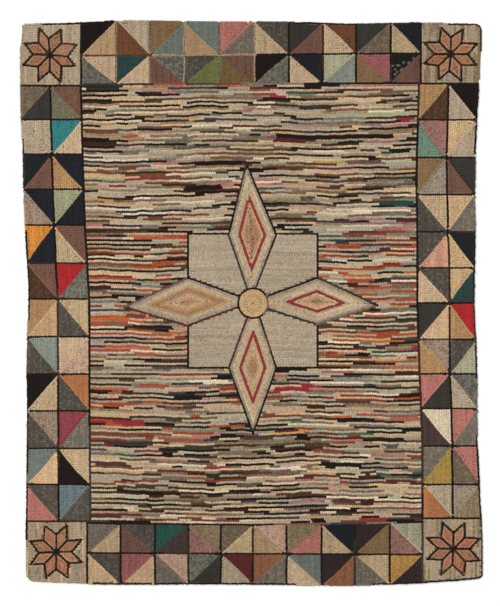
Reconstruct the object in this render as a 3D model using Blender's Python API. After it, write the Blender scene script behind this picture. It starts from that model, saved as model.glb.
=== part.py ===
"""A hooked rug, lying flat: wool loops pulled up through a burlap foundation.

The rug is one solid, because its hem and its loops are all worked into the same
cloth. Its frame is +Y along the length, +X across, +Z up out of the pile, with the
origin on the floor under the middle of the outline's box.
"""
import math
from collections import namedtuple

import bmesh
import bpy

# Overall size of the rug, in metres
WIDTH = 1.372
LENGTH = 1.676
THICKNESS = 0.0088

# The top rises and sinks a little, as the loops stand in some places and lie in others
TOP_WAVE = 0.0005
WAVE_ACROSS = 0.31
WAVE_ALONG = 0.43

# How finely the outline and the top are divided
STRAIGHT_STEPS_ACROSS = 22
STRAIGHT_STEPS_ALONG = 28
CORNER_STEPS = 5
TOP_RING_STEP = 0.055
LAST_RING_GAP = 0.04
SHARP_EDGE_DEGREES = 50.0

PILE_COLOUR = (0.36, 0.29, 0.22, 1.0)
PILE_ROUGHNESS = 0.95

# The outline is a rectangle with rounded corners, each with its own radius. Further in
# the corners grow sharper, down to this share of the radius
SHARPEST_CORNER_SHARE = 0.25
Corner = namedtuple("Corner", "side_x side_y radius")
CORNERS = [
    Corner(side_x=1, side_y=1, radius=0.020),
    Corner(side_x=-1, side_y=1, radius=0.010),
    Corner(side_x=-1, side_y=-1, radius=0.027),
    Corner(side_x=1, side_y=-1, radius=0.015),
]

# Each edge wanders inwards from the outline's box: how far in, at places along it
Station = namedtuple("Station", "along inset")
LEFT_EDGE = [
    Station(along=-0.838, inset=0.015),
    Station(along=-0.710, inset=0.015),
    Station(along=-0.560, inset=0.018),
    Station(along=-0.300, inset=0.020),
    Station(along=-0.200, inset=0.018),
    Station(along=0.000, inset=0.024),
    Station(along=0.080, inset=0.023),
    Station(along=0.170, inset=0.015),
    Station(along=0.470, inset=0.006),
    Station(along=0.600, inset=0.000),
    Station(along=0.780, inset=0.000),
    Station(along=0.838, inset=0.006),
]
RIGHT_EDGE = [
    Station(along=-0.838, inset=0.000),
    Station(along=-0.720, inset=0.000),
    Station(along=-0.540, inset=0.009),
    Station(along=-0.360, inset=0.018),
    Station(along=-0.260, inset=0.015),
    Station(along=-0.120, inset=0.018),
    Station(along=-0.030, inset=0.024),
    Station(along=0.235, inset=0.021),
    Station(along=0.350, inset=0.024),
    Station(along=0.590, inset=0.015),
    Station(along=0.767, inset=0.003),
    Station(along=0.838, inset=0.003),
]
BOTTOM_EDGE = [
    Station(along=-0.686, inset=0.013),
    Station(along=-0.570, inset=0.009),
    Station(along=-0.440, inset=0.002),
    Station(along=-0.140, inset=0.003),
    Station(along=0.280, inset=0.000),
    Station(along=0.440, inset=0.003),
    Station(along=0.560, inset=0.010),
    Station(along=0.686, inset=0.020),
]
TOP_EDGE = [
    Station(along=-0.686, inset=0.010),
    Station(along=-0.570, inset=0.007),
    Station(along=-0.380, inset=0.000),
    Station(along=-0.120, inset=0.004),
    Station(along=0.140, inset=0.004),
    Station(along=0.300, inset=0.009),
    Station(along=0.450, inset=0.006),
    Station(along=0.686, inset=0.009),
]

# The rim, from the floor up over the last row of loops: how far in and how high
RimStep = namedtuple("RimStep", "inset height")
RIM = [
    RimStep(inset=0.0016, height=0.0),
    RimStep(inset=0.0004, height=0.0012),
    RimStep(inset=0.0, height=0.0040),
    RimStep(inset=0.0008, height=0.0062),
    RimStep(inset=0.0030, height=0.0078),
    RimStep(inset=0.0070, height=0.0083),
]


def clear_scene():
    for thing in list(bpy.data.objects):
        bpy.data.objects.remove(thing, do_unlink=True)


def inset_at(stations, along):
    """The edge's inset at a place, smoothly between the stations around it."""
    if along <= stations[0].along:
        return stations[0].inset
    for before, after in zip(stations, stations[1:]):
        if along <= after.along:
            share = (along - before.along) / (after.along - before.along)
            share = share * share * (3.0 - 2.0 * share)
            return before.inset + (after.inset - before.inset) * share
    return stations[-1].inset


def wander(x, y):
    """Carry a point of the plain rectangle to its place on the uneven rug."""
    across = x / WIDTH + 0.5
    up = y / LENGTH + 0.5
    left = inset_at(LEFT_EDGE, y) * (1.0 - across)
    right = inset_at(RIGHT_EDGE, y) * across
    bottom = inset_at(BOTTOM_EDGE, x) * (1.0 - up)
    top = inset_at(TOP_EDGE, x) * up
    return x + left - right, y + bottom - top


def radius_at(corner, inset):
    """The corner's radius at this inset from the outline."""
    return max(corner.radius - inset, SHARPEST_CORNER_SHARE * corner.radius)


def ring(inset):
    """One closed loop around the rug, at this inset from its outline."""
    points = []
    for number, corner in enumerate(CORNERS):
        radius = radius_at(corner, inset)
        centre_x = corner.side_x * (WIDTH / 2.0 - inset - radius)
        centre_y = corner.side_y * (LENGTH / 2.0 - inset - radius)
        for step in range(CORNER_STEPS + 1):
            angle = math.radians(90.0 * (number + step / CORNER_STEPS))
            points.append((centre_x + radius * math.cos(angle), centre_y + radius * math.sin(angle)))
        following = CORNERS[(number + 1) % len(CORNERS)]
        next_radius = radius_at(following, inset)
        runs_across = number % 2 == 0
        steps = STRAIGHT_STEPS_ACROSS if runs_across else STRAIGHT_STEPS_ALONG
        start = points[-1]
        if runs_across:
            end = (following.side_x * (WIDTH / 2.0 - inset - next_radius), start[1])
        else:
            end = (start[0], following.side_y * (LENGTH / 2.0 - inset - next_radius))
        for step in range(1, steps):
            share = step / steps
            points.append((start[0] + (end[0] - start[0]) * share, start[1] + (end[1] - start[1]) * share))
    return [wander(x, y) for x, y in points]


def top_height(x, y):
    """The pile's height: its full height, less a slow wave across and along."""
    wave = math.sin(2.0 * math.pi * x / WAVE_ACROSS) * math.cos(2.0 * math.pi * y / WAVE_ALONG)
    return THICKNESS - TOP_WAVE * 0.5 * (1.0 + wave)


def top_insets():
    """The insets of the loops that carry the top, from the rim to near the middle."""
    insets = []
    inset = RIM[-1].inset + TOP_RING_STEP
    while inset < WIDTH / 2.0 - LAST_RING_GAP:
        insets.append(inset)
        inset += TOP_RING_STEP
    return insets


def rug_mesh():
    """Close the rim's loops, the top's loops and the flat underside into one body."""
    mesh = bmesh.new()
    loops = []
    for step in RIM:
        loops.append([mesh.verts.new((x, y, step.height)) for x, y in ring(step.inset)])
    for inset in top_insets():
        loops.append([mesh.verts.new((x, y, top_height(x, y))) for x, y in ring(inset)])
    for lower, upper in zip(loops, loops[1:]):
        count = len(lower)
        for at in range(count):
            after = (at + 1) % count
            mesh.faces.new((lower[at], lower[after], upper[after], upper[at]))
    mesh.faces.new(loops[-1])
    mesh.faces.new(list(reversed(loops[0])))
    bmesh.ops.triangulate(mesh, faces=mesh.faces[:])
    bmesh.ops.recalc_face_normals(mesh, faces=mesh.faces[:])
    return mesh


def pile_material():
    material = bpy.data.materials.new("wool_pile")
    material.use_nodes = True
    shader = material.node_tree.nodes["Principled BSDF"]
    shader.inputs["Base Color"].default_value = PILE_COLOUR
    shader.inputs["Roughness"].default_value = PILE_ROUGHNESS
    return material


def make_rug():
    body = rug_mesh()
    data = bpy.data.meshes.new("hooked_rug")
    body.to_mesh(data)
    body.free()
    rug = bpy.data.objects.new("hooked_rug", data)
    rug.data.materials.append(pile_material())
    bpy.context.collection.objects.link(rug)
    data.shade_smooth()
    data.set_sharp_from_angle(angle=math.radians(SHARP_EDGE_DEGREES))
    return rug


clear_scene()
make_rug()
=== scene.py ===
import math

import bpy
import numpy as np
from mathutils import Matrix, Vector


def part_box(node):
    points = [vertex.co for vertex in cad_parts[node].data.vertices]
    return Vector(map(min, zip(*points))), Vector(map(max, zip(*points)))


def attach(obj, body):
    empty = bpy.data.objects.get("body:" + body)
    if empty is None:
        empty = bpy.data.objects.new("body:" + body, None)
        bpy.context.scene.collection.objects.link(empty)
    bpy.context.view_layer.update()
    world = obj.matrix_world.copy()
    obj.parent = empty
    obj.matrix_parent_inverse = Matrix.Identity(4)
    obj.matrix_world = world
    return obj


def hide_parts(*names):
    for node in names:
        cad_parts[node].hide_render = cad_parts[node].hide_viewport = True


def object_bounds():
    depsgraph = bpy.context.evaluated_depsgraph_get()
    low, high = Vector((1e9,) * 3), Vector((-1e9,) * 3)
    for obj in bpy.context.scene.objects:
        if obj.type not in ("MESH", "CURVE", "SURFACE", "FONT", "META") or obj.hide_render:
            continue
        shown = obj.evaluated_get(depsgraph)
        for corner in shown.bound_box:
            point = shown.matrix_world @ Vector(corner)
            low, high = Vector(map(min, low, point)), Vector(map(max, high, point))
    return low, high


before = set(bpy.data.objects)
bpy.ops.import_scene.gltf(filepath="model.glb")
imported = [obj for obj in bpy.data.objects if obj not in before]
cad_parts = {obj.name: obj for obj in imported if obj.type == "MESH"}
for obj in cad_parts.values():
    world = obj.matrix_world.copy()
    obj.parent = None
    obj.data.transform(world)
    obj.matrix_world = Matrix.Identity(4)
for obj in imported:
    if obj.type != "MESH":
        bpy.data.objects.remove(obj)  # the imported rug: one body, lying on the floor
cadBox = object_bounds()
mm = 0.001
print("frame loaded")

# How the rug is hooked, lengths in metres
hooking = {
    "rowPitch": 0.00635,  # four rows to the inch
    "loopPitch": 0.0064,  # from loop to loop along a row
    "contourPitch": 0.0061,  # rows that run round inside a diamond lie closer
    "rimInset": 0.0031,  # the last row, in from the rug's outline
    "clear": 0.0057,  # from an outline row to the nearest loop of the filling
    "crowded": 0.0039,  # two loops nearer than this are one
    "handPlace": 0.00035,  # how unevenly the loops are placed
    "uneven": 0.12,  # and how much the gaps between them differ
    "gaps": (0.75, 1.25),  # the least and the most of them
    "spare": 0.4,  # a run may hold this much of a loop more or less
    "sample": 0.0015,  # between the points of a path
    "foundationTop": 0.0014,
    "sunk": 0.0004,  # how deep the loops' feet stand in the cloth
}
rowPitch = hooking["rowPitch"]
loopPitch = hooking["loopPitch"]
seeds = {
    "stray": 3, "medallionLines": 8, "stars": 14, "outlines": 5, "medallion": 9, "borders": 21, "field": 33,
}

# The shortest and the longest strips of rag in each kind of row
stripLengths = {
    "rim": (0.03, 0.22),
    "seam": (0.05, 0.3),
    "crossSeam": (0.05, 0.25),
    "ring": (0.08, 0.4),
    "starLine": (0.05, 0.2),
    "starGround": (0.03, 0.12),
    "diamondLine": (0.03, 0.2),
    "panelLine": (0.08, 0.3),
    "panel": (0.1, 0.5),
    "figure": (0.03, 0.15),
    "ground": (0.03, 0.2),
}

# The wools in the maker's bag, as they look in daylight
dyes = {
    "cream": (0.87, 0.80, 0.68),
    "ivory": (0.87, 0.81, 0.72),
    "oat": (0.73, 0.65, 0.545),
    "oatmeal": (0.70, 0.635, 0.54),
    "stone": (0.63, 0.57, 0.49),
    "fawn": (0.675, 0.59, 0.475),
    "beige": (0.82, 0.70, 0.56),
    "sand": (0.77, 0.69, 0.56),
    "straw": (0.78, 0.68, 0.53),
    "peach": (0.83, 0.69, 0.52),
    "apricot": (0.79, 0.64, 0.475),
    "salmon": (0.82, 0.61, 0.50),
    "blush": (0.79, 0.645, 0.55),
    "paleGrey": (0.67, 0.635, 0.57),
    "paleSage": (0.70, 0.68, 0.56),
    "sage": (0.64, 0.64, 0.50),
    "paleTeal": (0.555, 0.575, 0.52),
    "tan": (0.72, 0.58, 0.43),
    "camel": (0.71, 0.55, 0.38),
    "khaki": (0.58, 0.50, 0.38),
    "bracken": (0.55, 0.435, 0.30),
    "taupe": (0.45, 0.39, 0.32),
    "gold": (0.76, 0.57, 0.32),
    "amber": (0.84, 0.55, 0.24),
    "mustard": (0.66, 0.54, 0.28),
    "orange": (0.74, 0.37, 0.19),
    "rustOrange": (0.66, 0.305, 0.175),
    "rust": (0.46, 0.29, 0.19),
    "ginger": (0.59, 0.395, 0.275),
    "brick": (0.54, 0.225, 0.165),
    "red": (0.69, 0.17, 0.17),
    "crimson": (0.58, 0.18, 0.21),
    "garnet": (0.55, 0.21, 0.20),
    "raspberry": (0.58, 0.27, 0.29),
    "maroon": (0.38, 0.165, 0.155),
    "coral": (0.68, 0.385, 0.29),
    "terracotta": (0.66, 0.44, 0.32),
    "clay": (0.66, 0.485, 0.37),
    "pink": (0.735, 0.475, 0.43),
    "rose": (0.63, 0.385, 0.375),
    "duskyRose": (0.64, 0.46, 0.42),
    "mauve": (0.48, 0.335, 0.28),
    "greyMauve": (0.63, 0.535, 0.45),
    "plum": (0.31, 0.21, 0.22),
    "slate": (0.34, 0.31, 0.275),
    "blueGrey": (0.46, 0.485, 0.45),
    "grey": (0.465, 0.435, 0.38),
    "navy": (0.13, 0.135, 0.155),
    "turquoise": (0.22, 0.51, 0.52),
    "darkTeal": (0.175, 0.27, 0.26),
    "seaGreen": (0.46, 0.56, 0.475),
    "emerald": (0.16, 0.35, 0.29),
    "green": (0.27, 0.40, 0.29),
    "olive": (0.47, 0.385, 0.235),
    "moss": (0.46, 0.465, 0.265),
    "greyGreen": (0.43, 0.42, 0.335),
    "greenBlack": (0.18, 0.185, 0.14),
    "umber": (0.32, 0.225, 0.16),
    "darkBrown": (0.245, 0.155, 0.105),
    "charcoal": (0.24, 0.225, 0.205),
    "black": (0.115, 0.085, 0.07),
    "pepper": (0.125, 0.12, 0.11),
    "heather": (0.48, 0.46, 0.405),
    "peat": (0.30, 0.235, 0.215),
    "blackberry": (0.215, 0.165, 0.16),
    "copper": (0.71, 0.465, 0.30),
    "duskBlue": (0.42, 0.47, 0.48),
    "goldDisc": (0.78, 0.65, 0.47),
}

# Tweeds: which other wool shows in them, and how much of it
tweeds = {
    "grey": ("greyMauve", 0.2),
    "heather": ("charcoal", 0.35),
    "pepper": ("stone", 0.2),
    "duskyRose": ("mauve", 0.25),
    "taupe": ("khaki", 0.3),
    "greyMauve": ("taupe", 0.2),
    "straw": ("tan", 0.3),
    "oat": ("stone", 0.25),
    "khaki": ("taupe", 0.3),
    "slate": ("grey", 0.2),
    "mauve": ("taupe", 0.2),
    "greyGreen": ("khaki", 0.3),
    "umber": ("rust", 0.2),
    "beige": ("oat", 0.3),
    "sand": ("khaki", 0.2),
    "tan": ("stone", 0.3),
    "apricot": ("fawn", 0.3),
    "peach": ("oat", 0.2),
    "blush": ("greyMauve", 0.3),
    "stone": ("taupe", 0.15),
}
woolTone = {"depth": 0.88, "strip": 0.07, "loop": 0.05, "tint": 0.018, "darkest": 0.003, "lightest": 0.95}
# What is left of their brightness in the borders that are made darker, the bottom one most
darkerBorders = {"pile_top_border": 0.86, "pile_bottom_border": 0.80, "pile_right_border": 0.96}

pile = {}  # for each piece of the pile, the loops hooked so far
taken = {}  # which square of the cloth each hooked loop stands in


def diceFor(part):
    return np.random.default_rng(seeds[part])


def linearColour(name):
    shown = np.array(dyes[name])
    return np.where(shown <= 0.04045, shown / 12.92, ((shown + 0.055) / 1.055) ** 2.4)


def woolStrip(name, count, dice):  # the loops of one rag strip, each a little lighter or darker
    tone = dice.normal(1.0, woolTone["strip"]) * dice.normal(1.0, woolTone["loop"], (count, 1))
    colour = linearColour(name) * tone * dice.normal(1.0, woolTone["tint"], (count, 3))
    if name in tweeds:
        other, share = tweeds[name]
        flecked = dice.random(count) < share
        colour[flecked] = (colour[flecked] + linearColour(other)) / 2
    return np.clip(colour * woolTone["depth"], woolTone["darkest"], woolTone["lightest"])


def hookLoops(piece, x, y, turn, colour, tall=1.0, wide=1.0, squeeze=1.0):
    # A loop goes in only where it has room
    turn, tall, wide = (np.broadcast_to(part, x.shape) for part in (turn, tall, wide))
    square = hooking["crowded"]
    # some borders' wools are made darker all over, by their share in the table above
    colour = colour * darkerBorders.get(piece, 1.0)
    for number in range(len(x)):
        px, py = x[number], y[number]
        column, row = math.floor(px / square), math.floor(py / square)
        near = (taken.get((column + i, row + j), ()) for i in (-1, 0, 1) for j in (-1, 0, 1))
        if any(math.hypot(px - qx, py - qy) < square * squeeze for found in near for qx, qy in found):
            continue
        taken.setdefault((column, row), []).append((px, py))
        pile.setdefault(piece, []).append((px, py, turn[number], tall[number], wide[number], *colour[number]))


def sampledPath(points, closed=False):  # a path with a point every millimetre or two
    corners = list(points) + ([points[0]] if closed else [])
    x, y = [], []
    for (ax, ay), (bx, by) in zip(corners, corners[1:]):
        steps = max(2, int(math.hypot(bx - ax, by - ay) / hooking["sample"]) + 1)
        share = np.arange(steps) / steps
        x.append(ax + (bx - ax) * share)
        y.append(ay + (by - ay) * share)
    x.append([corners[-1][0]])
    y.append([corners[-1][1]])
    return np.concatenate(x), np.concatenate(y)


def pathRuns(x, y, keepOut, clear):  # the stretches of a path that stay clear of every shape
    free = np.ones(len(x), bool)
    for shape in keepOut:
        free &= shape(x, y) > clear
    edges = np.flatnonzero(np.diff(np.concatenate([[0], free.astype(int), [0]])))
    return [(first, last - 1) for first, last in zip(edges[::2], edges[1::2])]


def spacedPlaces(start, end, pitch, dice):  # loops along a run, from end to end, unevenly
    count = max(1, int(round((end - start) / pitch + dice.uniform(-hooking["spare"], hooking["spare"]))))
    gaps = np.clip(dice.normal(1.0, hooking["uneven"], count), *hooking["gaps"])
    return start + (end - start) * np.concatenate([[0.0], np.cumsum(gaps)]) / gaps.sum()


def alongPath(path):  # how far along it each point of a path lies
    return np.concatenate([[0.0], np.cumsum(np.hypot(np.diff(path[0]), np.diff(path[1])))])


def hookPath(piece, path, strips, dice, keepOut=(), clear=hooking["clear"], tall=1.0, wide=1.0, closed=False):
    x, y = path
    along = alongPath(path)
    for first, last in pathRuns(x, y, keepOut, clear):
        places = spacedPlaces(along[first], along[last], loopPitch, dice)
        if closed and last - first == len(x) - 1:
            places = places[:-1]
        px, py = np.interp(places, along, x), np.interp(places, along, y)
        ahead, behind = places + loopPitch / 2, places - loopPitch / 2
        turn = np.arctan2(np.interp(ahead, along, y) - np.interp(behind, along, y),
                          np.interp(ahead, along, x) - np.interp(behind, along, x))
        sideways = dice.normal(0.0, hooking["handPlace"], len(places))
        px, py = px - np.sin(turn) * sideways, py + np.cos(turn) * sideways
        hookLoops(piece, px, py, turn, stripColours(places, strips, dice), tall, wide)


def stripColours(places, strips, dice):  # each loop is of the strip that it is pulled from
    colour = np.zeros((len(places), 3))
    began = -1.0
    for end, name in strips:
        mine = (places > began) & (places <= end)
        colour[mine] = woolStrip(name, int(mine.sum()), dice)
        began = end
    late = places > began
    colour[late] = woolStrip(strips[-1][1], int(late.sum()), dice)
    return colour


def drawWool(weights, dice):
    names = list(weights)
    share = np.array([weights[name] for name in names], float)
    return names[int(dice.choice(len(names), p=share / share.sum()))]


def pathLength(path):
    return float(np.hypot(np.diff(path[0]), np.diff(path[1])).sum())


def cutStrips(path, kind, weights, dice):  # rag strips, end to end, along a row
    length = pathLength(path)
    strips, end = [], 0.0
    while end < length:
        end += dice.uniform(*stripLengths[kind])
        strips.append((end, drawWool(weights, dice)))
    return strips


def hookRow(piece, path, kind, weights, dice, keepOut=(), clear=hooking["clear"], **look):
    # A row of strips cut at random
    hookPath(piece, path, cutStrips(path, kind, weights, dice), dice, keepOut, clear, **look)


def sidesOf(corners):
    return list(zip(corners, corners[1:] + corners[:1]))


def areaOf(corners):
    return sum(ax * by - bx * ay for (ax, ay), (bx, by) in sidesOf(corners))


def anticlockwise(corners):
    corners = [tuple(corner) for corner in corners]
    return corners if areaOf(corners) > 0 else corners[::-1]


def toEdge(x, y, corners):  # how far a point lies from the nearest side of a shape
    near = np.full(x.shape, np.inf)
    for (ax, ay), (bx, by) in sidesOf(corners):
        ex, ey = bx - ax, by - ay
        share = np.clip(((x - ax) * ex + (y - ay) * ey) / (ex * ex + ey * ey), 0.0, 1.0)
        near = np.minimum(near, np.hypot(x - ax - share * ex, y - ay - share * ey))
    return near


def outsideOf(corners):  # how far a point lies outside a shape with straight sides, less than 0 inside
    corners = anticlockwise(corners)

    def distance(x, y):
        near = toEdge(x, y, corners)
        inside = np.ones(x.shape, bool)
        for (ax, ay), (bx, by) in sidesOf(corners):
            inside &= (bx - ax) * (y - ay) - (by - ay) * (x - ax) > 0
        return np.where(inside, -near, near)
    return distance


def insideOf(shape):
    return lambda x, y: -shape(x, y)


# The rug's outline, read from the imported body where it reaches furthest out
def rugOutline():
    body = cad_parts["hooked_rug"].data
    spots = np.zeros(len(body.vertices) * 3)
    body.vertices.foreach_get("co", spots)
    spots = spots.reshape(-1, 3)
    low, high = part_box("hooked_rug")
    widest = spots[np.abs(spots[:, 0] - low.x).argmin(), 2]
    ring = np.unique(np.round(spots[np.abs(spots[:, 2] - widest) < 0.00002, :2], 6), axis=0)
    return ring[np.argsort(np.arctan2(ring[:, 1], ring[:, 0]))]


outline = rugOutline()
outlineAngle = np.arctan2(outline[:, 1], outline[:, 0])
outlineReach = np.hypot(outline[:, 0], outline[:, 1])
print("outline has", len(outline), "points")


def insetOutline(inset):
    ahead, behind = np.roll(outline, -1, 0), np.roll(outline, 1, 0)
    along = ahead - behind
    along /= np.hypot(along[:, 0], along[:, 1])[:, None]
    return outline + np.stack([-along[:, 1], along[:, 0]], 1) * inset


def depthInRug(x, y):  # how far inside the outline a point is
    near = toEdge(x, y, [tuple(spot) for spot in outline])
    reach = np.interp(np.arctan2(y, x), outlineAngle, outlineReach, period=2 * math.pi)
    return np.where(np.hypot(x, y) < reach, near, -near)


# The long seams of the design, each as (place along it, place across) in millimetres
longSeams = {
    "leftField": [(-720, -477), (-320, -480), (0, -481), (118, -487), (231, -494), (450, -501), (640, -506)],
    "leftMiddle": [(-720, -571), (-320, -573), (0, -574), (118, -580), (337, -589), (640, -597)],
    "rightField": [(-720, 507), (-425, 507), (-210, 499), (0, 492), (210, 492), (380, 489), (650, 497)],
    "rightMiddle": [(-720, 598), (-314, 593), (-210, 588), (100, 587), (210, 583), (420, 578), (650, 585)],
    "topField": [(-506, 648), (500, 652)],
    "topMiddle": [(-506, 733), (500, 740)],
    "bottomField": [(-487, -653), (0, -658), (507, -650)],
    "bottomMiddle": [(-487, -741), (500, -746)],
}


def seamPlace(name, along):
    if name.endswith("Rim"):
        return rimPlace(name, along)
    stations = np.array(longSeams[name]) * mm
    return np.interp(along, stations[:, 0], stations[:, 1])


rimSides = {"from": 0.6, "cornerRoom": 0.035}  # how far out a side lies, and what its corners take


def rimPlace(name, along):  # the rug's own edge on that side
    down = 0 if name in ("leftRim", "rightRim") else 1
    side = 1 if name in ("rightRim", "topRim") else -1
    limit = np.abs(outline[:, 1 - down]).max() - rimSides["cornerRoom"]
    edge = outline[(outline[:, down] * side > rimSides["from"]) & (np.abs(outline[:, 1 - down]) < limit)]
    edge = edge[np.argsort(edge[:, 1 - down])]
    return np.interp(along, edge[:, 1 - down], edge[:, down])


# The border: two rows of blocks on each side, sizes in millimetres
border = {
    "top": {"start": -505, "blocks": [104, 99, 102, 105, 104, 102, 101, 98, 103, 89]},
    "bottom": {"start": -487, "blocks": [99, 102, 99, 96, 95, 100, 104, 98, 104, 97]},
    "left": {"start": 644, "blocks": [100, 103, 104, 106, 113, 106, 112, 111, 109, 111, 107, 109]},
    "right": {"start": 650, "blocks": [107, 112, 110, 110, 107, 104, 108, 102, 103, 111, 114, 100]},
}
# The slanting lines that split the blocks, in metres
slants = {
    "row": 0.0031,  # from the slanting line to the rows beside it
    "clear": 0.0049,  # and from those to the upright ones
    "bow": 0.0016,  # how far the line may bow out
    "sway": 0.0003,
    "points": 90,
}
# In loops: a column that is shorter than none by more than this is left out, and a short one gets one loop
upright = {"skipped": 0.35, "single": 0.6}
# The lines that the blocks lie between, from the rug's edge inwards
borderLines = {side: (side + "Rim", side + "Middle", side + "Field") for side in border}
# Four blocks make a diamond, so the slants alternate: these rows begin with a rising one
risingFirst = {("top", "outer"), ("bottom", "inner"), ("left", "outer"), ("right", "inner")}

# The two wools of each block, in the order of the blocks, the upper left or lower left scrap first
scraps = {
    ("top", "outer"): "black/apricot rust/oat bracken/blueGrey tan/blueGrey pink/grey straw/slate "
                      "charcoal/mauve beige/rust charcoal/taupe straw/navy",
    ("top", "inner"): "heather/beige darkTeal/beige mauve/heather slate/moss olive/mauve black/heather "
                      "beige/navy paleSage/paleTeal bracken/rose pepper/mauve",
    ("bottom", "outer"): "peach/slate rose/peach grey/blush heather/charcoal oat/maroon ginger/grey "
                         "beige/blueGrey blackberry/ginger grey/straw gold/blackberry",
    ("bottom", "inner"): "grey/straw mauve/slate emerald/peat duskyRose/khaki taupe/straw tan/blush "
                         "khaki/pink straw/navy blackberry/bracken duskyRose/paleSage",
    ("left", "outer"): "taupe/charcoal oat/oat navy/mauve greyMauve/navy amber/navy umber/mauve "
                       "camel/apricot slate/paleTeal black/straw slate/greyMauve blueGrey/peach pink/slate",
    ("left", "inner"): "greyGreen/mauve turquoise/beige camel/navy sage/navy straw/mauve red/heather "
                       "slate/straw beige/blush slate/copper raspberry/grey black/straw duskBlue/slate",
    ("right", "outer"): "oat/black peach/oat mauve/charcoal peach/grey peach/navy peach/darkTeal "
                        "camel/red slate/paleSage oat/heather pink/grey taupe/pink stone/khaki",
    ("right", "inner"): "camel/umber seaGreen/duskyRose bracken/stone slate/straw slate/salmon beige/slate "
                        "charcoal/peach camel/greyMauve pink/charcoal peat/cream grey/mustard copper/oat",
}
# Seams that aren't black all along: how far each strip reaches, in metres from the seam's left end
seamStrips = {
    "topMiddle": [(0.21, "umber"), (0.52, "greyMauve"), (1.1, "black")],
    "topField": [(0.21, "charcoal"), (0.31, "rustOrange"), (0.39, "plum"), (0.47, "brick"), (0.66, "grey"),
                 (1.1, "black")],
    "bottomField": [(0.55, "black"), (0.72, "mauve"), (0.83, "charcoal"), (0.92, "grey"), (1.1, "black")],
}
blackWools = {"black": 8, "charcoal": 0.8, "darkBrown": 0.8, "greenBlack": 0.3}
paleSeams = {"taupe": 2, "khaki": 1, "greyMauve": 2}
rimWools = {"black": 4, "charcoal": 1, "darkBrown": 1, "bare": 5}


def crossSeams(side):  # where one block ends and the next begins
    plan = border[side]
    step = 1 if side in ("top", "bottom") else -1
    return (plan["start"] + step * np.concatenate([[0], np.cumsum(plan["blocks"])])) * mm


def blockCorners(side, ring, number):  # lower left, lower right, upper left, upper right
    seams = crossSeams(side)
    first, second = seams[number], seams[number + 1]
    rim, middle, inner = borderLines[side]
    near, far = (rim, middle) if ring == "outer" else (middle, inner)
    if side in ("top", "bottom"):
        low, high = (far, near) if side == "top" else (near, far)
        return [(first, seamPlace(low, first)), (second, seamPlace(low, second)),
                (first, seamPlace(high, first)), (second, seamPlace(high, second))]
    left, right = (near, far) if side == "left" else (far, near)
    return [(seamPlace(left, second), second), (seamPlace(right, second), second),
            (seamPlace(left, first), first), (seamPlace(right, first), first)]


def hookBlock(piece, corners, rimSide, rising, pair, dice):  # upright rows, split by a slanting line
    corners = np.array(corners)
    lowerScrap, upperScrap = pair[int(rising)], pair[int(not rising)]
    bow = dice.normal(0.0, slants["bow"])
    width = (np.hypot(*(corners[1] - corners[0])) + np.hypot(*(corners[3] - corners[2]))) / 2
    height = (np.hypot(*(corners[2] - corners[0])) + np.hypot(*(corners[3] - corners[1]))) / 2
    left, right = (hooking["rimInset"] if rimSide == side else rowPitch for side in ("left", "right"))
    bottom, top = (hooking["rimInset"] if rimSide == side else hooking["clear"] for side in ("bottom", "top"))
    bottom, top = bottom / height, 1 - top / height
    left, right = left / width, right / width
    slant = (corners[0], corners[3]) if rising else (corners[1], corners[2])
    ends = (max(bottom, left), min(top, 1 - right)) if rising else (max(bottom, right), min(top, 1 - left))
    hookSlant(piece, slant, ends, bow, (lowerScrap, upperScrap), dice)
    steep = math.hypot(width, height) / width / height
    room = (slants["row"] + slants["clear"]) * steep
    columns = int(round((1 - left - right) * width / rowPitch)) + 1
    for u in np.linspace(left, 1 - right, columns):
        split = (u if rising else 1 - u) + bow * steep * math.sin(math.pi * u)
        foot = corners[0] * (1 - u) + corners[1] * u
        head = corners[2] * (1 - u) + corners[3] * u
        lean = math.atan2(head[1] - foot[1], head[0] - foot[0])
        for low, high, name in ((bottom, split - room, lowerScrap), (split + room, top, upperScrap)):
            v = blockColumn(low, high, loopPitch / height, dice)
            spots = foot + (head - foot) * v[:, None]
            x = spots[:, 0] + dice.normal(0.0, hooking["handPlace"], len(v))
            hookLoops(piece, x, spots[:, 1], lean, woolStrip(name, len(v), dice))


def blockColumn(low, high, pitch, dice):
    if high < low - upright["skipped"] * pitch:
        return np.zeros(0)
    if high - low < upright["single"] * pitch:
        return np.array([(low + high) / 2])
    return spacedPlaces(low, high, pitch, dice)


def hookSlant(piece, slant, ends, bow, pair, dice):  # a row of each scrap beside the slanting line
    start, step = slant[0], slant[1] - slant[0]
    upward = np.array([-step[1], step[0]]) / math.hypot(*step) * (1 if step[0] > 0 else -1)
    share = np.linspace(ends[0], ends[1], slants["points"])[:, None]
    line = start + step * share + upward * bow * np.sin(math.pi * share)
    for side, name in zip((-1, 1), pair):
        x, y = (line + upward * side * slants["row"]).T
        hookPath(piece, wobbled((x, y), dice, slants["sway"]), [(1.0, name)], dice)


def hookBorders():
    dice = diceFor("borders")
    for side in border:
        for ring in ("outer", "inner"):
            for number, pair in enumerate(scraps[side, ring].split()):
                rising = (number % 2 == 0) == ((side, ring) in risingFirst)
                rimSide = side if ring == "outer" else None
                corners = blockCorners(side, ring, number)
                hookBlock("pile_" + side + "_border", corners, rimSide, rising, pair.split("/"), dice)


# Rows that outline the design
def seamPath(name, start, end):
    along = np.arange(start, end, hooking["sample"])
    across = seamPlace(name, along)
    return (along, across) if name.startswith(("top", "bottom")) else (across, along)


# How the outline rows lie, in metres, and the narrow ones among them, of a full loop
rowLook = {
    "sway": 0.0008,
    "wave": 0.11,  # the sway's length along the row
    "quick": 5,  # a shorter wave, by its angle over that length
    "quickShare": 0.6,  # and its height, of the longer one's
    "rimTall": 0.88,
    "rimWide": 0.72,
    "paleWide": 0.75,
    "pale": range(1, 6),  # the first blocks of the top have no black outline
}


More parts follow.
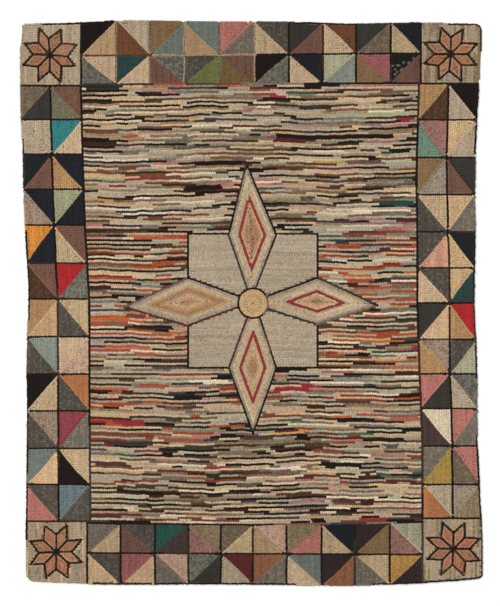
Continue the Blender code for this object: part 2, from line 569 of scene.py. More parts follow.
def wobbled(path, dice, size=rowLook["sway"]):  # a row that a hand laid
    x, y = path
    phase = dice.uniform(0, 2 * math.pi, 2)
    along = alongPath(path)
    slow = np.sin(along / rowLook["wave"] * 2 * math.pi + phase[0])
    quick = np.sin(along / rowLook["wave"] * rowLook["quick"] + phase[1])
    sway = size * (slow + rowLook["quickShare"] * quick)
    turn = np.arctan2(np.gradient(y), np.gradient(x))
    return x - np.sin(turn) * sway, y + np.cos(turn) * sway


def hookPatches(piece, path, strips, dice):  # a narrow row that comes and goes along the rug's edge
    along = alongPath(path)
    began = 0.0
    for end, name in strips:
        part = (along >= began) & (along < end)
        if name != "bare" and part.sum() > 2:
            hookPath(piece, (path[0][part], path[1][part]), [(1.0, name)], dice,
                     tall=rowLook["rimTall"], wide=rowLook["rimWide"])
        began = end


def hookOutlines():
    dice = diceFor("outlines")
    piece = "pile_outline_rows"
    path = sampledPath([tuple(spot) for spot in insetOutline(hooking["rimInset"])], closed=True)
    hookPatches(piece, path, cutStrips(path, "rim", rimWools, dice), dice)
    for line in ("Field", "Middle"):
        for side in ("left", "right", "top", "bottom"):
            seams = crossSeams(side)
            path = wobbled(seamPath(side + line, float(seams.min()), float(seams.max())), dice)
            strips = cutStrips(path, "seam", blackWools, dice)
            hookPath(piece, path, seamStrips.get(side + line, strips), dice)
    for side in border:
        rim, _, inner = borderLines[side]
        for number, seam in enumerate(crossSeams(side)):
            near, far = seamPlace(rim, seam), seamPlace(inner, seam)
            ends = [(seam, near), (seam, far)] if side in ("top", "bottom") else [(near, seam), (far, seam)]
            pale = side == "top" and number in rowLook["pale"]
            path = wobbled(sampledPath(ends), dice)
            hookRow(piece, path, "crossSeam", paleSeams if pale else blackWools, dice, [depthInRug],
                    hooking["rimInset"], wide=rowLook["paleWide"] if pale else 1.0)


# The corners: an eight-pointed star on a plain ground, sizes in millimetres
stars = {
    "reach": 84,  # to the points
    "shoulder": 49,  # to the notches between them
    "uneven": 1.6,  # how far a point may stray, since each is drawn by hand
    "petals": 8,
    "centreRing": 4.4,
    "centreLoops": 7,
    "centreTall": 1.05,  # of a full loop
    "centreWide": 1.2,
    "lineWidth": 0.7,
    "past": 4,  # how far past the rug's edge the ground's rows are tried
    "places": {
        "topLeft": (-598, 736),
        "topRight": (591, 738),
        "bottomLeft": (-579, -738),
        "bottomRight": (598, -729),
    },
    "turns": {"topLeft": -1.0, "topRight": -1.5, "bottomLeft": 2.0, "bottomRight": -1.5},
    "grounds": {
        "topLeft": {"fawn": 4, "oatmeal": 3, "oat": 3},
        "topRight": {"fawn": 4, "stone": 2, "khaki": 2.5},
        "bottomLeft": {"fawn": 5, "tan": 0.6, "stone": 1.5, "straw": 1, "greyMauve": 0.5},
        "bottomRight": {"fawn": 5, "stone": 2, "khaki": 2, "tan": 0.4},
    },
    "outerWools": {"clay": 4, "terracotta": 2},
    "innerWools": {"terracotta": 4, "clay": 3},
}

starLines = {"black": 4, "darkBrown": 2}
strayDice = diceFor("stray")
starStray = {corner: strayDice.normal(0.0, stars["uneven"], (stars["petals"], 4))
             for corner in stars["places"]}


def insetCorners(corners, inset):  # a shape with straight sides, drawn in all round
    lines = []
    for (ax, ay), (bx, by) in sidesOf(anticlockwise(corners)):
        length = math.hypot(bx - ax, by - ay)
        nx, ny = -(by - ay) / length, (bx - ax) / length
        lines.append((nx, ny, nx * ax + ny * ay + inset))
    found = []
    for (a, b, c), (d, e, f) in zip(lines[-1:] + lines[:-1], lines):
        size = a * e - b * d
        found.append(((c * e - b * f) / size, (a * f - c * d) / size))
    return found


discSearch = {"largest": 0.2, "halvings": 30}


def inscribed(corners):  # the radius of the largest disc inside
    low, high = 0.0, discSearch["largest"]
    for _ in range(discSearch["halvings"]):
        middle = (low + high) / 2
        shrunk = insetCorners(corners, middle)
        pairs = zip(sidesOf(anticlockwise(corners)), sidesOf(shrunk))
        kept = all((qx - px) * (bx - ax) + (qy - py) * (by - ay) > 0
                   for ((ax, ay), (bx, by)), ((px, py), (qx, qy)) in pairs)
        low, high = (middle, high) if areaOf(shrunk) > 0 and kept else (low, middle)
    return low


def hookRings(piece, corners, bands, dice, keepOut=()):  # rows round and round inside a shape
    reach = inscribed(corners)
    rings = max(1, int(round(reach / hooking["contourPitch"] - 0.5)))
    pitch = reach / (rings + 0.5)
    for number in range(1, rings + 1):
        path = sampledPath(insetCorners(corners, number * pitch), closed=True)
        band = bands[min(number, len(bands)) - 1]
        tall, wide = (redTall, redWide) if band == redBand else (1.0, 1.0)
        weights = band if isinstance(band, dict) else {band: 1}
        hookRow(piece, path, "ring", weights, dice, keepOut, tall=tall, wide=wide, closed=True)


def petalCorners(corner, number):
    centreX, centreY = stars["places"][corner]
    step = 2 * math.pi / stars["petals"]
    start = number * step + math.radians(stars["turns"][corner])

    def at(radius, angle, stray):
        out, aside = radius + stray[0], stray[1]
        return ((centreX + out * math.cos(angle) - aside * math.sin(angle)) * mm,
                (centreY + out * math.sin(angle) + aside * math.cos(angle)) * mm)
    here, following = starStray[corner][number], starStray[corner][(number + 1) % stars["petals"]]
    return [(centreX * mm, centreY * mm), at(stars["shoulder"], start, here[:2]),
            at(stars["reach"], start + step / 2, here[2:]),
            at(stars["shoulder"], start + step, following[:2])]


def starPetals(corner):
    return [petalCorners(corner, number) for number in range(stars["petals"])]


def hookStarOutline(corner, dice):
    piece = "pile_outline_rows"
    centreX, centreY = (part * mm for part in stars["places"][corner])
    count = stars["centreLoops"]
    radii = [0.0] + [stars["centreRing"] * mm] * count
    angles = [0.0] + [2 * math.pi / count * number for number in range(count)]
    x = np.array([centreX + radius * math.cos(angle) for radius, angle in zip(radii, angles)])
    y = np.array([centreY + radius * math.sin(angle) for radius, angle in zip(radii, angles)])
    colour = woolStrip("black", len(x), dice)
    hookLoops(piece, x, y, np.array(angles) + math.pi / 2, colour, stars["centreTall"], stars["centreWide"])
    petals = starPetals(corner)
    zigzag = sampledPath([spot for petal in petals for spot in petal[1:3]], closed=True)
    hookRow(piece, zigzag, "starLine", starLines, dice, wide=stars["lineWidth"], closed=True)
    for petal in petals:
        hookRow(piece, sampledPath(petal[:2]), "starLine", starLines, dice, wide=stars["lineWidth"])


def hookCorner(corner, dice):
    piece = "pile_corner_blocks"
    petals = starPetals(corner)
    for petal in petals:
        hookRings(piece, petal, [stars["outerWools"], stars["innerWools"]], dice)
    right, top = corner.endswith("Right"), corner.startswith("top")
    outX, outY = (1 if right else -1), (1 if top else -1)
    seamX = crossSeams("top" if top else "bottom")[-1 if right else 0]
    seamY = crossSeams("right" if right else "left")[0 if top else -1]
    rimX = seamPlace("rightRim" if right else "leftRim", seamY)
    rimY = seamPlace("topRim" if top else "bottomRim", seamX)
    past = stars["past"] * mm
    lowY, highY = sorted((seamY + outY * loopPitch, rimY + outY * past))
    keepOut = [outsideOf(petal) for petal in petals] + [insideRim(hooking["rimInset"])]
    for x in np.arange(seamX + outX * rowPitch, rimX + outX * past, outX * rowPitch):
        y = np.arange(lowY, highY, hooking["sample"])
        hookRow(piece, (np.full(len(y), x), y), "starGround", stars["grounds"][corner], dice, keepOut)


def insideRim(room):  # as a shape to keep out of: what lies nearer the edge than this
    return lambda x, y: depthInRug(x, y) - room + hooking["clear"]


# The medallion: a panel, four long diamonds and a disc, in millimetres from the rug's centre
medallion = {
    "panel": [(-188, -192), (196, -192), (196, 205), (-188, 205)],
    "disc": {"place": (4.7, -0.9), "radius": 44},
    "lineWidth": 0.75,  # of a full loop
    "sway": 0.5,
    "panelClear": 3,
    "squeeze": 0.78,  # of the usual room, for the loops that fill the gaps
    "diamonds": {
        "top": [(-1, 8), (-68, 202), (-15, 413), (73.5, 202)],
        "right": [(-7, 0), (196, 75), (374, -7), (194, -63)],
        "bottom": [(7, 11), (-67, -192), (5, -387), (73.5, -192)],
        "left": [(6, 5), (-188, 75), (-377, -12), (-190, -67)],
    },
}
redBand = "garnet"
redWide = 1.55  # of a full loop
redTall = 1.0 + (redWide - 1.0) / 6
# From the edge inwards, a row or two of each wool
diamondBands = {
    "top": ["stone", "sand", "straw", "oat", redBand, "apricot", "tan", "clay"],
    "bottom": ["stone", "sand", "straw", "oat", redBand, "apricot", "straw", "tan", "clay"],
    "right": ["stone", "oat", "straw", "sand", "oat", redBand, "straw", "apricot", "tan", "clay"],
    "left": ["stone", "oat", "straw", "tan", "clay", "camel", "tan", "apricot", "tan", "clay"],
}
panelWools = {"oatmeal": 9, "oat": 1}
# Sides of the diamonds that aren't black, counted from the disc, and the strips round the disc
maroonMix = {"maroon": 3, "plum": 1, "black": 1}
sideWools = {
    ("top", 0): {"slate": 2, "charcoal": 3, "plum": 1},
    ("top", 3): {"charcoal": 3, "black": 2, "slate": 1},
    ("right", 2): {"taupe": 3, "greyGreen": 1},
    ("right", 3): {"greenBlack": 2, "taupe": 1},
    ("bottom", 0): maroonMix,
    ("bottom", 3): {"black": 3, "maroon": 2, "plum": 1},
    ("left", 1): {"mauve": 2, "slate": 2, "plum": 1},
    ("left", 2): maroonMix,
    ("left", 3): maroonMix,
}
discStrips = [(0.026, "taupe"), (0.236, "black"), (0.3, "taupe")]


def inMetres(corners):
    return [(x * mm, y * mm) for x, y in corners]


diamonds = {name: inMetres(corners) for name, corners in medallion["diamonds"].items()}
diamondShapes = [outsideOf(corners) for corners in diamonds.values()]
panel = inMetres(medallion["panel"])
discX, discY = (part * mm for part in medallion["disc"]["place"])
discRadius = medallion["disc"]["radius"] * mm


def discShape(x, y):  # how far a point lies outside the disc
    return np.hypot(x - discX, y - discY) - discRadius


def discRing(radius):
    angle = np.linspace(0, 2 * math.pi, max(13, int(2 * math.pi * radius / hooking["sample"])))
    return discX + radius * np.cos(angle), discY + radius * np.sin(angle)


def hookMedallionOutlines():
    dice = diceFor("medallionLines")
    piece = "pile_outline_rows"
    wide = medallion["lineWidth"]
    hookPath(piece, discRing(discRadius), discStrips, dice, wide=wide, closed=True)
    for name, corners in diamonds.items():
        for side, ends in enumerate(sidesOf(corners)):
            path = wobbled(sampledPath(ends), dice, medallion["sway"] * mm)
            wools = sideWools.get((name, side), blackWools)
            hookRow(piece, path, "diamondLine", wools, dice, [discShape], wide=wide)
    path = sampledPath(panel, closed=True)
    clear = medallion["panelClear"] * mm
    hookRow(piece, path, "panelLine", blackWools, dice, diamondShapes, clear, wide=wide)


def fillAxis(piece, corners, bands, dice):  # loops for the gaps where the rings turn at their ends
    x, y = sampledPath([corners[0], corners[2]])
    depth = -outsideOf(corners)(x, y)
    pitch = inscribed(corners) / (len(bands) + 0.5)
    inside = (depth > hooking["clear"]) & (discShape(x, y) > hooking["clear"])
    for spotX, spotY, deep in zip(x[inside], y[inside], depth[inside]):
        colour = woolStrip(bands[int(np.clip(round(deep / pitch), 1, len(bands))) - 1], 1, dice)
        hookLoops(piece, np.array([spotX]), np.array([spotY]), 0.0, colour, squeeze=medallion["squeeze"])


def hookMedallion():
    dice = diceFor("medallion")
    piece = "pile_medallion"
    rings = int(round(discRadius / hooking["contourPitch"]))
    for number in range(1, rings):
        hookPath(piece, discRing(discRadius * (1 - number / rings)), [(1.0, "goldDisc")], dice, closed=True)
    for name, corners in diamonds.items():
        hookRings(piece, corners, diamondBands[name], dice, [discShape])
        fillAxis(piece, corners, diamondBands[name], dice)


# The field: level hit-or-miss rows of light ground wools and of every other wool, lengths in metres
field = {
    "halfWidth": 0.52,  # the rows are tried out to here
    "sideRoom": 0.0062,
    "shortMore": 1.5,  # above 1 there are more short strips than long ones
    "figureUnderGround": {"top": 0.62, "middle": 0.77, "lower": 0.71, "bottom": 0.70},
    "figureUnderFigure": 0.30,  # how often one comes below another
    "darkShare": {"top": 0.55, "middle": 0.47, "lower": 0.50, "bottom": 0.54},  # of the figure strips
    "under": 0.02,  # where a strip looks at the row above, from its start
    "doubleShare": 0.03,  # of the figure strips are two rows thick
    "doubleStart": (-0.01, 0.02),  # how much later the second row starts and stops
    "doubleStop": (-0.02, 0.01),
    "again": 0.25,  # chance that the wool in hand is used again close by
    "hands": 6,
    "waves": [(0.0032, 0.62, 2.5, 1.1), (0.0013, 0.21, 9.0, 0.7)],  # height, length, drift, phase
    "ripples": 9,  # lesser waves, each of its own length and drift
    "rippleSize": 0.0003,
    "rippleLength": (0.035, 0.13),
    "rippleDrift": 45.0,
    "waveRoom": 0.06,
}
groundWools = {
    "cream": 2.5, "ivory": 0.5, "oat": 4.5, "beige": 3.5, "sand": 3, "peach": 1.5, "paleGrey": 2.5,
    "paleSage": 3, "blush": 2.5, "straw": 3, "oatmeal": 3.5, "stone": 4, "greyMauve": 2.5, "khaki": 2.5,
    "pink": 0.6, "tan": 2, "apricot": 1, "sage": 1, "taupe": 1,
}
darkWools = {
    "black": 12, "charcoal": 4, "darkBrown": 7, "greenBlack": 1.5, "umber": 3, "navy": 1, "plum": 0.7,
}
figureWools = {
    "top": {
        "taupe": 4, "slate": 3, "grey": 3, "khaki": 2, "rust": 2.5, "greyGreen": 2, "olive": 1,
        "crimson": 1.5, "brick": 1.5, "duskyRose": 2, "gold": 0.7, "darkTeal": 0.7, "emerald": 0.3,
        "blueGrey": 2, "maroon": 1.5, "pink": 0.7, "rustOrange": 0.7, "mauve": 2,
    },
    "middle": {
        "rustOrange": 15, "brick": 11, "orange": 4, "coral": 2, "red": 1.5, "greyGreen": 2, "grey": 2,
        "taupe": 2, "blueGrey": 1, "slate": 1, "maroon": 2, "khaki": 1, "rust": 3, "darkTeal": 0.6,
    },
    "lower": {
        "rustOrange": 7, "brick": 4, "orange": 2, "coral": 1, "crimson": 2, "greyGreen": 2, "grey": 3,
        "khaki": 1.5, "taupe": 4, "mauve": 1,
        "rust": 2, "blueGrey": 1, "slate": 2, "maroon": 2, "green": 1, "emerald": 0.5,
    },
    "bottom": {
        "maroon": 2, "crimson": 2, "brick": 2.5, "green": 1, "emerald": 0.4, "mauve": 4, "rust": 3,
        "taupe": 4, "duskyRose": 2, "grey": 2, "gold": 0.5, "slate": 3, "khaki": 1.5, "olive": 1,
    },
}
# The field's zones, and how far down each of them reaches
fieldZones = [("top", 0.21), ("middle", -0.19), ("lower", -0.37), ("bottom", -1.0)]
fieldDice = diceFor("field")
ripples = [(field["rippleSize"], fieldDice.uniform(*field["rippleLength"]),
            fieldDice.uniform(-1, 1) * field["rippleDrift"], fieldDice.uniform(0, 2 * math.pi))
           for _ in range(field["ripples"])]


def levelOf(line, x):  # a seam's height at x, or a level line's
    return seamPlace(line, x) if isinstance(line, str) else np.full(np.shape(x), line)


def fieldRows():  # the two fixed lines that each row lies between, and how far down from the upper one
    panelTop, panelBottom = panel[2][1], panel[0][1]
    rows = []
    for upper, lower in (("topField", panelTop), (panelTop, panelBottom), (panelBottom, "bottomField")):
        count = int(round((float(levelOf(upper, 0.0)) - float(levelOf(lower, 0.0))) / rowPitch))
        first = 1 if isinstance(upper, str) else 0
        rows += [(upper, lower, number / count) for number in range(first, count)]
    return rows


def fieldRowPath(row):
    upper, lower, share = row
    x = np.arange(-field["halfWidth"], field["halfWidth"], hooking["sample"])
    high, low = levelOf(upper, x), levelOf(lower, x)
    y = high * (1 - share) + low * share
    height = float(high.mean() * (1 - share) + low.mean() * share)
    room = min(abs(height - float(line.mean())) for line in (high, low))
    calm = min(1.0, room / field["waveRoom"])
    for size, length, drift, phase in field["waves"] + ripples:
        y = y + calm * size * np.sin(2 * math.pi * x / length + drift * height + phase)
    left = seamPlace("leftField", y) + field["sideRoom"]
    right = seamPlace("rightField", y) - field["sideRoom"]
    inField = (x > left) & (x < right)
    return (x[inField], y[inField]), height


def hitOrMiss(length, zone, above, inHand, dice):  # strips of a row, with where its figure strips lie
    strips, figures, end = [], [], 0.0
    while end < length:
        began = end
        covered = any(start <= began + field["under"] < stop for start, stop in above)
        chance = field["figureUnderFigure"] if covered else field["figureUnderGround"][zone]
        isFigure = dice.random() < chance
        hand = min(field["hands"] - 1, int(began / length * field["hands"]))
        if isFigure and (inHand[hand] is None or dice.random() > field["again"]):
            dark = dice.random() < field["darkShare"][zone]
            inHand[hand] = drawWool(darkWools if dark else figureWools[zone], dice)
        shortest, longest = stripLengths["figure" if isFigure else "ground"]
        end += shortest + (longest - shortest) * dice.random() ** field["shortMore"]
        strips.append((end, inHand[hand] if isFigure else drawWool(groundWools, dice)))
        if isFigure:
            figures.append((began, end))
    return strips, figures


def overlaid(strips, patches):  # strips with a few of them carried over from the row above
    for start, stop, name in patches:
        kept, began = [], 0.0
        for end, under in strips:
            if began < start:
                kept.append((min(end, start), under))
            if end > start and began < stop and (not kept or kept[-1][0] < stop):
                kept.append((min(max(end, start), stop), name))
            if end > stop:
                kept.append((end, under))
            began = end
        strips = kept
    return strips


def hookField(dice):
    panelShape = outsideOf(panel)
    inHand = [None] * field["hands"]
    patches, figures = [], []
    for row in fieldRows():
        path, height = fieldRowPath(row)
        zone = next(name for name, low in fieldZones if height > low)
        strips, figures = hitOrMiss(pathLength(path), zone, figures, inHand, dice)
        strips = overlaid(strips, patches)
        patches = []
        began = 0.0
        for end, name in strips:
            if name not in groundWools and dice.random() < field["doubleShare"]:
                later = dice.uniform(*field["doubleStart"])
                patches.append((began + later, end + dice.uniform(*field["doubleStop"]), name))
            began = end
        hookPath("pile_field_" + zone, path, strips, dice, [panelShape] + diamondShapes)
        keepOut = [insideOf(panelShape), discShape] + diamondShapes
        hookRow("pile_medallion", path, "panel", panelWools, dice, keepOut)


hookMedallionOutlines()
starDice = diceFor("stars")
for corner in stars["places"]:
    hookStarOutline(corner, starDice)
hookOutlines()
print("outline rows hooked")
hookMedallion()
for corner in stars["places"]:
    hookCorner(corner, starDice)
print("medallion and corners hooked")
hookBorders()
print("borders hooked")
hookField(fieldDice)
print("field hooked:", sum(len(loops) for loops in pile.values()), "loops in all")


# Materials
def feed(tree, node, inputs):  # sets or links a node's inputs
    for socket, value in inputs.items():
        if isinstance(value, bpy.types.NodeSocket):
            tree.links.new(value, node.inputs[socket])
        else:
            node.inputs[socket].default_value = value


def addNode(tree, kind, inputs, **settings):  # a new node's first output
    node = tree.nodes.new(kind)
    for name, value in settings.items():
        setattr(node, name, value)
    feed(tree, node, inputs)
    return next((socket for socket in node.outputs if socket.enabled), None)


def combined(tree, operation, first, second=0.0):
    return addNode(tree, "ShaderNodeMath", {0: first, 1: second}, operation=operation)


def mapped(tree, value, given, wanted):  # a value from one range carried over to another
    ranges = {"From Min": given[0], "From Max": given[1], "To Min": wanted[0], "To Max": wanted[1]}
    return addNode(tree, "ShaderNodeMapRange", {"Value": value, **ranges})


def noise(tree, place, scale, detail=2.0):
    return addNode(tree, "ShaderNodeTexNoise", {"Vector": place, "Scale": scale, "Detail": detail})


def axesOf(tree, place):
    node = tree.nodes.new("ShaderNodeSeparateXYZ")
    feed(tree, node, {"Vector": place})
    return node.outputs


def fromAxes(tree, x, y, z):
    return addNode(tree, "ShaderNodeCombineXYZ", {"X": x, "Y": y, "Z": z})


def bumped(tree, height, look):
    settings = {"Strength": look["bump"], "Distance": look["bumpDepth"], "Height": height}
    return addNode(tree, "ShaderNodeBump", settings)


def newMaterial(name):
    material = bpy.data.materials.new(name)
    material.use_nodes = True
    return material, material.node_tree, material.node_tree.nodes["Principled BSDF"]


noiseRange = (0.3, 0.7)  # where most of a noise lies
wool = {
    "fibre": 1900,  # noise scale of the fibres
    "felting": 520,
    "soiling": 5,
    "soilingRange": (0.35, 0.65),
    "fine": 3.0,  # noise detail
    "fibreTone": (0.86, 1.14),
    "feltingTone": (0.93, 1.07),
    "soilingTone": (0.93, 1.04),
    "heights": (0.0025, 0.0078),
    "paintedShadeTone": (0.85, 1.0),  # painted shade: the wool is darker down at the cloth, where shade falls between the loops
    "roughness": (0.86, 0.98),
    "specular": 0.08,
    "sheen": 0.05,
    "sheenRoughness": 0.6,
    "bump": 0.5,
    "bumpDepth": 0.0005,
}


def woolMaterial():
    material, tree, shader = newMaterial("wool_rag_loops")
    place = tree.nodes.new("ShaderNodeTexCoord").outputs["Object"]
    dye = addNode(tree, "ShaderNodeAttribute", {}, attribute_name="dye")
    fibre = noise(tree, place, wool["fibre"], wool["fine"])
    felting = noise(tree, place, wool["felting"])
    soiling = noise(tree, place, wool["soiling"], wool["fine"])
    tone = mapped(tree, fibre, noiseRange, wool["fibreTone"])
    # The first factor is painted shade, darkening each loop towards the cloth; the fibre, felting and soiling
    # noise vary the wool's own tone
    for value, given, wanted in ((axesOf(tree, place)["Z"], wool["heights"], wool["paintedShadeTone"]),
                                 (felting, noiseRange, wool["feltingTone"]),
                                 (soiling, wool["soilingRange"], wool["soilingTone"])):
        tone = combined(tree, "MULTIPLY", tone, mapped(tree, value, given, wanted))
    feed(tree, shader, {
        "Base Color": addNode(tree, "ShaderNodeVectorMath", {0: dye, "Scale": tone}, operation="SCALE"),
        "Roughness": mapped(tree, felting, noiseRange, wool["roughness"]),
        "Normal": bumped(tree, combined(tree, "ADD", fibre, felting), wool),
        "Specular IOR Level": wool["specular"],
        "Sheen Weight": wool["sheen"],
        "Sheen Roughness": wool["sheenRoughness"],
    })
    return material


burlap = {
    "thread": 0.0021,  # from thread to thread
    "light": (0.43, 0.31, 0.18, 1.0),
    "dark": (0.21, 0.14, 0.075, 1.0),
    "slub": 260,
    "slubDetail": 3.0,
    "heights": (0.3, 1.3),  # weave heights from the darkest to the lightest; the dark gaps between the threads are painted shade
    "roughness": (0.85, 0.97),
    "specular": 0.2,
    "bump": 0.7,
    "bumpDepth": 0.0005,
}


def burlapMaterial():  # plain weave: warp and weft pass over each other in turn
    material, tree, shader = newMaterial("burlap_cloth")
    place = tree.nodes.new("ShaderNodeTexCoord").outputs["Object"]
    axes = axesOf(tree, place)
    warp, weft = (combined(tree, "SINE", combined(tree, "MULTIPLY", axes[axis], math.pi / burlap["thread"]))
                  for axis in ("X", "Y"))
    over = combined(tree, "MULTIPLY", warp, weft)
    slub = noise(tree, place, burlap["slub"], burlap["slubDetail"])
    height = combined(tree, "ADD", combined(tree, "ABSOLUTE", over), slub)
    # Painted shade: the cloth is darker in the low gaps between threads and lighter on their crowns; the slub
    # noise adds the cloth's own uneven tone
    light = mapped(tree, height, burlap["heights"], (0.0, 1.0))
    shade = {"A": burlap["dark"], "B": burlap["light"], "Factor": light}
    feed(tree, shader, {
        "Base Color": addNode(tree, "ShaderNodeMix", shade, data_type="RGBA"),
        "Roughness": mapped(tree, slub, noiseRange, burlap["roughness"]),
        "Normal": bumped(tree, height, burlap),
        "Specular IOR Level": burlap["specular"],
    })
    return material


woolFinish = woolMaterial()
burlapFinish = burlapMaterial()
print("materials made")


# One loop of rag, arched over the row, and the tree that pulls one up at every place
loopShape = {
    "Loop Length": 0.0102,
    "Loop Width": 0.0071,
    "Loop Height": 0.0068,
    "Half Arch": 1.565,  # radians, from the crown down to the cloth
    "Crown": 0.4,  # below 1 the crown is flatter, as where loops crowd each other
    "Side Drop": 0.28,  # how far the strip's edges curl down
    "Side Draw": 0.14,  # and draw in
    "Turn Spread": 0.16,
    "Tilt Spread": 0.12,
    "Size Spread": 0.07,
}
loopGrid = {"along": 5, "across": 3}


def loopTree():
    tree = bpy.data.node_groups.new("hookedLoops", "GeometryNodeTree")
    addSocket = tree.interface.new_socket
    addSocket("Places", in_out="INPUT", socket_type="NodeSocketGeometry")
    for name, value in loopShape.items():
        addSocket(name, in_out="INPUT", socket_type="NodeSocketFloat").default_value = value
    addSocket("Seed", in_out="INPUT", socket_type="NodeSocketInt")
    addSocket("Pile", in_out="OUTPUT", socket_type="NodeSocketGeometry")
    given = tree.nodes.new("NodeGroupInput").outputs

    def maths(operation, first, second=0.0):
        return combined(tree, operation, first, second)

    def times(first, second):
        return combined(tree, "MULTIPLY", first, second)

    def named(name):
        return addNode(tree, "GeometryNodeInputNamedAttribute", {"Name": name}, data_type="FLOAT")

    def spread(size, shift):  # a number from -size to size, another for every loop
        limits = {"Min": times(given[size], -1.0), "Max": given[size],
                  "Seed": maths("ADD", given["Seed"], float(shift))}
        return addNode(tree, "FunctionNodeRandomValue", limits, data_type="FLOAT")

    grid = addNode(tree, "GeometryNodeMeshGrid", {
        "Size X": 2.0, "Size Y": 2.0, "Vertices X": loopGrid["along"], "Vertices Y": loopGrid["across"]})
    axes = axesOf(tree, addNode(tree, "GeometryNodeInputPosition", {}))
    angle = times(axes["X"], given["Half Arch"])
    edge = times(axes["Y"], axes["Y"])
    drop, draw = (maths("SUBTRACT", 1.0, times(edge, given[name])) for name in ("Side Drop", "Side Draw"))
    crown = maths("POWER", maths("MAXIMUM", maths("COSINE", angle)), given["Crown"])
    arch = fromAxes(tree, times(times(maths("SINE", angle), draw), times(given["Loop Length"], 0.5)),
                    times(axes["Y"], times(given["Loop Width"], 0.5)),
                    times(times(crown, drop), given["Loop Height"]))
    shaped = addNode(tree, "GeometryNodeSetPosition", {"Geometry": grid, "Position": arch})
    turn = fromAxes(tree, spread("Tilt Spread", 1), spread("Tilt Spread", 2),
                    maths("ADD", named("loopTurn"), spread("Turn Spread", 3)))
    size = fromAxes(tree, maths("ADD", 1.0, spread("Size Spread", 4)),
                    times(named("loopWide"), maths("ADD", 1.0, spread("Size Spread", 5))),
                    times(named("loopTall"), maths("ADD", 1.0, spread("Size Spread", 6))))
    pulled = addNode(tree, "GeometryNodeInstanceOnPoints", {
        "Points": given["Places"],
        "Instance": addNode(tree, "GeometryNodeSetShadeSmooth", {"Geometry": shaped}),
        "Rotation": addNode(tree, "FunctionNodeEulerToRotation", {"Euler": turn}),
        "Scale": size,
    })
    realized = addNode(tree, "GeometryNodeRealizeInstances", {"Geometry": pulled})
    finish = addNode(tree, "GeometryNodeSetMaterial", {"Geometry": realized, "Material": woolFinish})
    addNode(tree, "NodeGroupOutput", {"Pile": finish})
    return tree


def placed(name, data):  # a new object in the scene
    made = bpy.data.objects.new(name, data)
    bpy.context.scene.collection.objects.link(made)
    return made


def placesObject(name, loops):  # one point for every loop, with its turn, its height and its dye
    loops = np.array(loops)
    mesh = bpy.data.meshes.new(name)
    mesh.vertices.add(len(loops))
    feet = np.full(len(loops), hooking["foundationTop"] - hooking["sunk"])
    spots = np.column_stack([loops[:, 0], loops[:, 1], feet])
    mesh.vertices.foreach_set("co", spots.ravel())
    for label, column in (("loopTurn", 2), ("loopTall", 3), ("loopWide", 4)):
        mesh.attributes.new(label, "FLOAT", "POINT").data.foreach_set("value", loops[:, column])
    dye = np.column_stack([loops[:, 5:8], np.ones(len(loops))])
    mesh.attributes.new("dye", "FLOAT_COLOR", "POINT").data.foreach_set("color", dye.ravel())
    return placed(name + "_places", mesh)


mapMargin = 0.005  # of the texture, left free at each side


def bakeMap(mesh):  # a plan view of the piece, laid out over its texture
    spots = np.zeros(len(mesh.vertices) * 3)
    mesh.vertices.foreach_get("co", spots)
    flat = spots.reshape(-1, 3)[:, :2]
    low, high = flat.min(0), flat.max(0)
    corners = np.zeros(len(mesh.loops), int)
    mesh.loops.foreach_get("vertex_index", corners)
    layer = mesh.uv_layers.new(name="OFBake")
    spread = mapMargin + (1 - 2 * mapMargin) * (flat - low) / (high - low)
    layer.data.foreach_set("uv", spread[corners].ravel())


def plainPiece(made, name):  # the evaluated result as a mesh of its own
    bpy.context.view_layer.update()
    evaluated = made.evaluated_get(bpy.context.evaluated_depsgraph_get())
    mesh = bpy.data.meshes.new_from_object(evaluated)
    made.modifiers.clear()
    bpy.data.objects.remove(made)
    for label in ("loopTurn", "loopTall", "loopWide"):
        if label in mesh.attributes:
            mesh.attributes.remove(mesh.attributes[label])
    mesh.name = name
    return placed(name, mesh)


def pullPile():
    tree = loopTree()
    sockets = {item.name: item.identifier for item in tree.interface.items_tree if item.in_out == "INPUT"}
    pieces = []
    for number, (name, loops) in enumerate(sorted(pile.items())):
        places = placesObject(name, loops)
        modifier = places.modifiers.new("hook", "NODES")
        modifier.node_group = tree
        modifier[sockets["Seed"]] = 10 * number
        piece = plainPiece(places, name)
        bakeMap(piece.data)
        pieces.append(piece)
        triangles = sum(len(face.vertices) - 2 for face in piece.data.polygons)
        print(name, len(loops), "loops,", triangles, "triangles")
    return pieces


pilePieces = pullPile()


# The foundation: a thin sheet of burlap under the whole pile, its hem turned to the back
foundation = {
    "rings": [(0.0024, 0.0), (0.0014, 0.0005), (0.0014, 0.0011), (0.0024, 0.0014)],  # inset and height
    "deep": [0.02, 0.08, 0.2, 0.35, 0.5, 0.62],  # the insets of the rings that carry the top
    "half": (0.686, 0.838),  # half the rug's width and length
}


def foundationPiece():
    rings = [[(x, y, height) for x, y in insetOutline(inset)] for inset, height in foundation["rings"]]
    lastInset = foundation["rings"][-1][0]
    for inset in foundation["deep"]:
        shareX, shareY = (1 - inset / half for half in foundation["half"])
        rings.append([(x * shareX, y * shareY, hooking["foundationTop"]) for x, y in insetOutline(lastInset)])
    count = len(outline)
    faces = [list(reversed(range(count)))]
    for first in range(0, (len(rings) - 1) * count, count):
        for at in range(count):
            after = (at + 1) % count
            faces.append([first + at, first + after, first + count + after, first + count + at])
    faces.append([(len(rings) - 1) * count + at for at in range(count)])
    mesh = bpy.data.meshes.new("burlap_foundation")
    mesh.from_pydata([spot for ring in rings for spot in ring], [], faces)
    mesh.update()
    mesh.materials.append(burlapFinish)
    return placed("burlap_foundation", mesh)


cloth = foundationPiece()
print("foundation made")

for piece in pilePieces + [cloth]:
    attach(piece, "root")
    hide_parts("hooked_rug")
low, high = cadBox


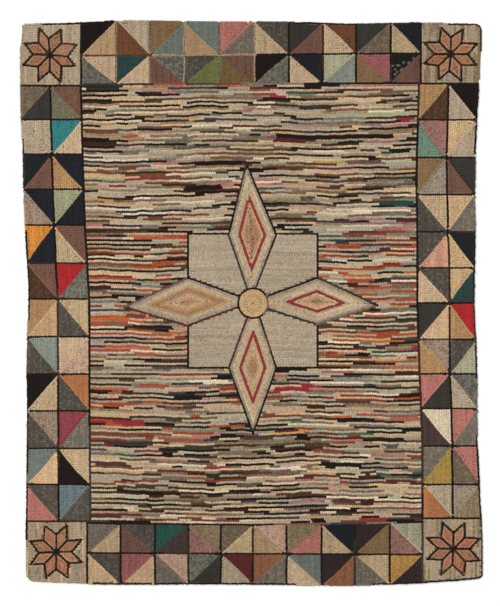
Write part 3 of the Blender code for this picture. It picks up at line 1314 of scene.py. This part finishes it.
# The studio: a pale floor, a large soft light overhead and a camera straight above
studio = {
    "photoHeight": 606,
    "pixel": 0.002963,  # metres of rug in one pixel of the photograph
    "shiftX": -1.5,  # the frame's centre from the rug's, in those pixels
    "lens": 120,
    "sensor": 36,
    "floorSize": 14.0,
    "floorColour": (0.93, 0.93, 0.925, 1.0),
    "floorRoughness": 0.9,
    "floorSpecular": 0.1,
    "farthest": 50.0,  # that the camera sees
    "worldColour": (1.0, 1.0, 1.0, 1.0),
    "worldStrength": 0.72,
    "keyPlace": (-2.0, 2.4, 3.9),  # a broad light from the upper left
    "keySpread": 50,  # degrees
    "keyStrength": 1.9,
}


def makeFloor():
    half = studio["floorSize"] / 2
    mesh = bpy.data.meshes.new("floor")
    spots = [(-half, -half, 0), (half, -half, 0), (half, half, 0), (-half, half, 0)]
    mesh.from_pydata(spots, [], [(0, 1, 2, 3)])
    material, tree, shader = newMaterial("studio_floor")
    feed(tree, shader, {
        "Base Color": studio["floorColour"],
        "Roughness": studio["floorRoughness"],
        "Specular IOR Level": studio["floorSpecular"],
    })
    mesh.materials.append(material)
    placed("floor", mesh)


def keyLight():
    data = bpy.data.lights.new("key", "SUN")
    data.angle = math.radians(studio["keySpread"])
    data.energy = studio["keyStrength"]
    light = placed("key", data)
    x, y, z = light.location = studio["keyPlace"]
    light.rotation_euler = (math.atan2(math.hypot(x, y), z), 0.0, math.atan2(y, x) + math.pi / 2)


def makeCamera():
    data = bpy.data.cameras.new("camera")
    data.lens = studio["lens"]
    data.sensor_width = studio["sensor"]
    data.clip_end = studio["farthest"]
    camera = placed("camera", data)
    shown = studio["photoHeight"] * studio["pixel"]
    distance = shown * studio["lens"] / studio["sensor"]
    camera.location = (studio["shiftX"] * studio["pixel"], 0.0, high.z + distance)
    bpy.context.scene.camera = camera


def makeStudio():
    makeFloor()
    keyLight()
    makeCamera()
    world = bpy.data.worlds.new("studio")
    world.use_nodes = True
    backdrop = world.node_tree.nodes["Background"]
    backdrop.inputs["Color"].default_value = studio["worldColour"]
    backdrop.inputs["Strength"].default_value = studio["worldStrength"]
    bpy.context.scene.world = world
    bpy.context.scene.view_settings.view_transform = "Standard"


makeStudio()
print("studio made")
